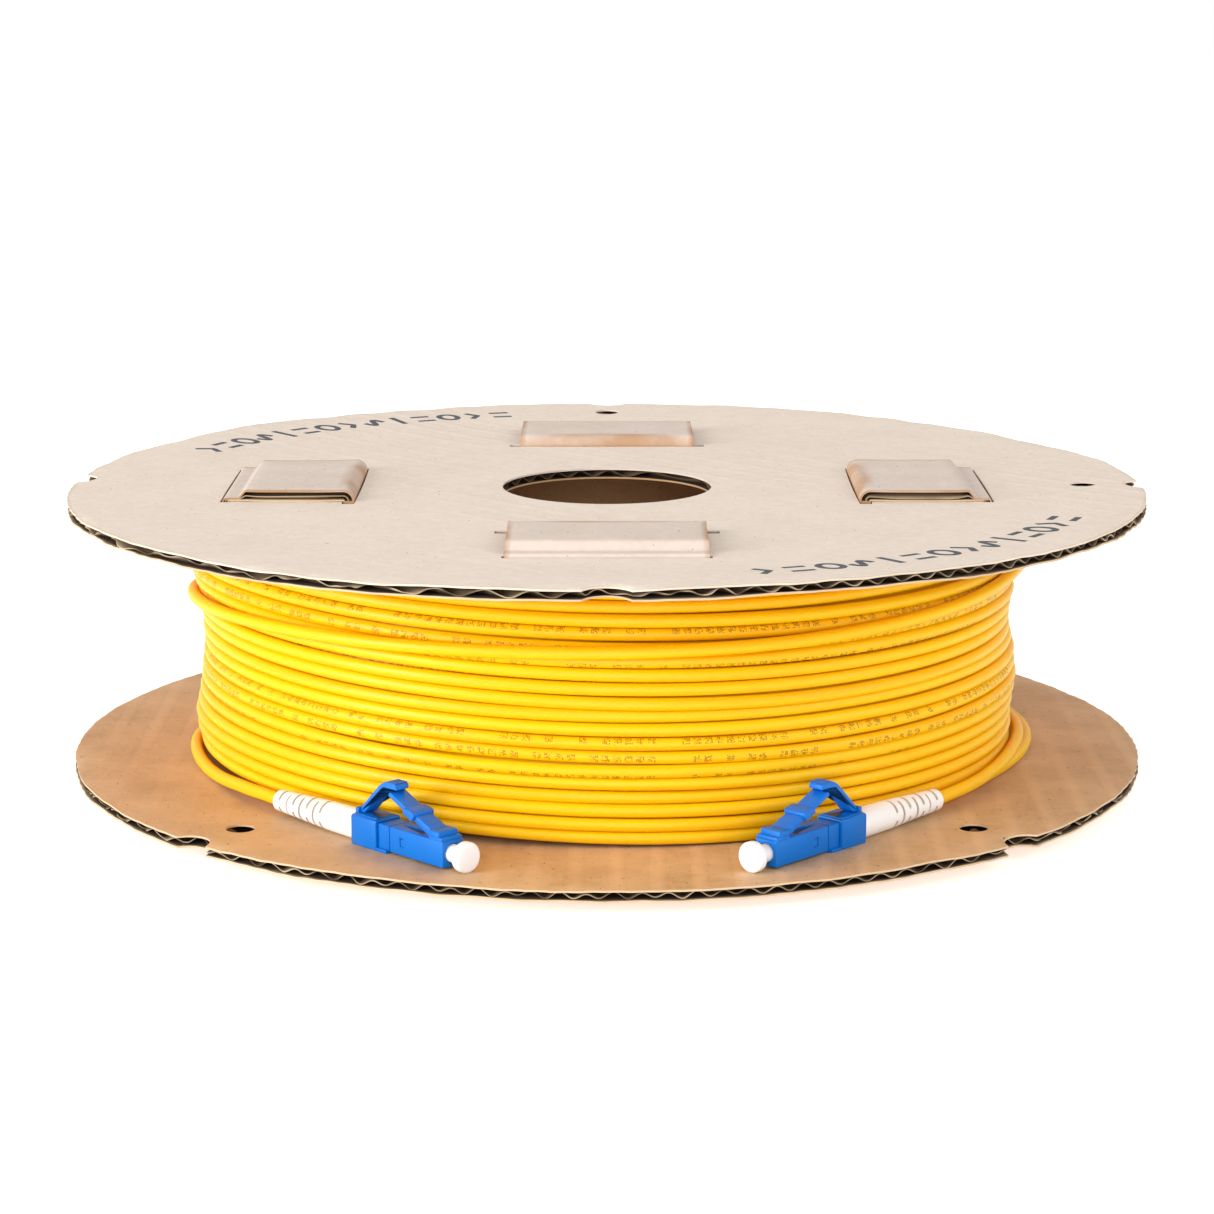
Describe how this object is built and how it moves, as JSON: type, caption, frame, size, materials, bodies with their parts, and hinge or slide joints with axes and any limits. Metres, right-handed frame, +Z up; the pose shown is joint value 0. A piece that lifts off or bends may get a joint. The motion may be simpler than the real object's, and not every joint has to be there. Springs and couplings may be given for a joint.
{
  "type": "cable reel",
  "caption": "Round cardboard cable reel with a folded core and tucked tabs, wound with thin yellow patch cable that ends in two small latched plugs with dust caps.",
  "frame": {"origin": "centre of the underside, on the spindle axis, level with the folded lower tabs", "axes": "+Z up along the spindle axis; -Y is the front, where the two plugs lie; +X to the right seen from the front"},
  "size_m": [0.2, 0.2, 0.055],
  "materials": {
    "upper_board": "pale kraft liner, matt",
    "lower_board": "kraft liner, matt",
    "core_board": "kraft liner, matt",
    "tab_board": "greyish kraft liner, matt",
    "cable_jacket": "soft jacket, satin",
    "plug_metal": "plain",
    "ferrule_ceramic": "polished",
    "boot_rubber": "smooth, satin",
    "cap_plastic": "soft moulded, satin",
    "insert_plastic": "moulded",
    "lever_plastic": "moulded, satin",
    "plug_plastic": "moulded, satin"
  },
  "bodies": {
    "root": {"upper_flange": "upper_board", "lower_flange": "lower_board", "core_wall": "core_board", "upper_tab_folds": "tab_board", "lower_tab_folds": "tab_board", "cable_winding": "cable_jacket", "cable_lead_left": "cable_jacket", "cable_lead_right": "cable_jacket", "left_plug_housing": "plug_plastic", "left_rear_clip": "plug_plastic", "left_ferrule_spring": "plug_metal", "left_cable_insert": "insert_plastic", "left_crimp_sleeve": "plug_metal", "left_boot": "boot_rubber", "right_plug_housing": "plug_plastic", "right_rear_clip": "plug_plastic", "right_ferrule_spring": "plug_metal", "right_cable_insert": "insert_plastic", "right_crimp_sleeve": "plug_metal", "right_boot": "boot_rubber"},
    "upper_tab_1": {"upper_tab_1": "tab_board"},
    "upper_tab_2": {"upper_tab_2": "tab_board"},
    "upper_tab_3": {"upper_tab_3": "tab_board"},
    "upper_tab_4": {"upper_tab_4": "tab_board"},
    "lower_tab_1": {"lower_tab_1": "tab_board"},
    "lower_tab_2": {"lower_tab_2": "tab_board"},
    "lower_tab_3": {"lower_tab_3": "tab_board"},
    "lower_tab_4": {"lower_tab_4": "tab_board"},
    "left_latch": {"left_latch_lever": "lever_plastic"},
    "left_trigger": {"left_trigger_arm": "lever_plastic"},
    "left_cap": {"left_dust_cap": "cap_plastic"},
    "left_float": {"left_ferrule": "ferrule_ceramic", "left_ferrule_holder": "plug_metal"},
    "right_latch": {"right_latch_lever": "lever_plastic"},
    "right_trigger": {"right_trigger_arm": "lever_plastic"},
    "right_cap": {"right_dust_cap": "cap_plastic"},
    "right_float": {"right_ferrule": "ferrule_ceramic", "right_ferrule_holder": "plug_metal"}
  },
  "joints": [
    {"name": "upper_tab_1_fold", "type": "hinge", "parent": "root", "child": "upper_tab_1", "pos_m": [0.048, 0, 0.053], "axis": [0, -1, 0], "range_deg": [0, 90], "deforming": ["upper_tab_folds"]},
    {"name": "upper_tab_2_fold", "type": "hinge", "parent": "root", "child": "upper_tab_2", "pos_m": [0, 0.048, 0.053], "axis": [1, 0, 0], "range_deg": [0, 90], "deforming": ["upper_tab_folds"]},
    {"name": "upper_tab_3_fold", "type": "hinge", "parent": "root", "child": "upper_tab_3", "pos_m": [-0.048, 0, 0.053], "axis": [0, 1, 0], "range_deg": [0, 90], "deforming": ["upper_tab_folds"]},
    {"name": "upper_tab_4_fold", "type": "hinge", "parent": "root", "child": "upper_tab_4", "pos_m": [0, -0.048, 0.053], "axis": [-1, 0, 0], "range_deg": [0, 90], "deforming": ["upper_tab_folds"]},
    {"name": "lower_tab_1_fold", "type": "hinge", "parent": "root", "child": "lower_tab_1", "pos_m": [0.03394, 0.03394, 0.002], "axis": [-0.7071, 0.7071, 0], "range_deg": [0, 90], "deforming": ["lower_tab_folds"]},
    {"name": "lower_tab_2_fold", "type": "hinge", "parent": "root", "child": "lower_tab_2", "pos_m": [-0.03394, 0.03394, 0.002], "axis": [-0.7071, -0.7071, 0], "range_deg": [0, 90], "deforming": ["lower_tab_folds"]},
    {"name": "lower_tab_3_fold", "type": "hinge", "parent": "root", "child": "lower_tab_3", "pos_m": [-0.03394, -0.03394, 0.002], "axis": [0.7071, -0.7071, 0], "range_deg": [0, 90], "deforming": ["lower_tab_folds"]},
    {"name": "lower_tab_4_fold", "type": "hinge", "parent": "root", "child": "lower_tab_4", "pos_m": [0.03394, -0.03394, 0.002], "axis": [0.7071, 0.7071, 0], "range_deg": [0, 90], "deforming": ["lower_tab_folds"]},
    {"name": "left_trigger_press", "type": "hinge", "parent": "root", "child": "left_trigger", "pos_m": [-0.04017, -0.07121, 0.01015], "axis": [0.7254, 0.6884, 0], "range_deg": [0, 11], "stiffness_Nm_per_rad": 0.005},
    {"name": "left_latch_press", "type": "hinge", "parent": "root", "child": "left_latch", "pos_m": [-0.02813, -0.0839, 0.00975], "axis": [-0.7254, -0.6884, 0], "range_deg": [0, 7.8], "stiffness_Nm_per_rad": 0.005},
    {"name": "left_cap_pull", "type": "slide", "parent": "root", "child": "left_cap", "axis": [0.6884, -0.7254, 0], "range_m": [0, 0.012]},
    {"name": "left_ferrule_float", "type": "slide", "parent": "root", "child": "left_float", "axis": [-0.6884, 0.7254, 0], "range_m": [0, 0.0005], "stiffness_N_per_m": 800, "deforming": ["left_ferrule_spring"]},
    {"name": "right_trigger_press", "type": "hinge", "parent": "root", "child": "right_trigger", "pos_m": [0.04079, -0.07086, 0.01015], "axis": [0.7314, -0.682, 0], "range_deg": [0, 11], "stiffness_Nm_per_rad": 0.005},
    {"name": "right_latch_press", "type": "hinge", "parent": "root", "child": "right_latch", "pos_m": [0.02886, -0.08365, 0.00975], "axis": [-0.7314, 0.682, 0], "range_deg": [0, 7.8], "stiffness_Nm_per_rad": 0.005},
    {"name": "right_cap_pull", "type": "slide", "parent": "root", "child": "right_cap", "axis": [-0.682, -0.7314, 0], "range_m": [0, 0.012]},
    {"name": "right_ferrule_float", "type": "slide", "parent": "root", "child": "right_float", "axis": [0.682, 0.7314, 0], "range_m": [0, 0.0005], "stiffness_N_per_m": 800, "deforming": ["right_ferrule_spring"]}
  ],
  "couplings": [
    {"joint": "left_latch_press", "follows": "left_trigger_press", "ratio": 0.7},
    {"joint": "right_latch_press", "follows": "right_trigger_press", "ratio": 0.7}
  ]
}
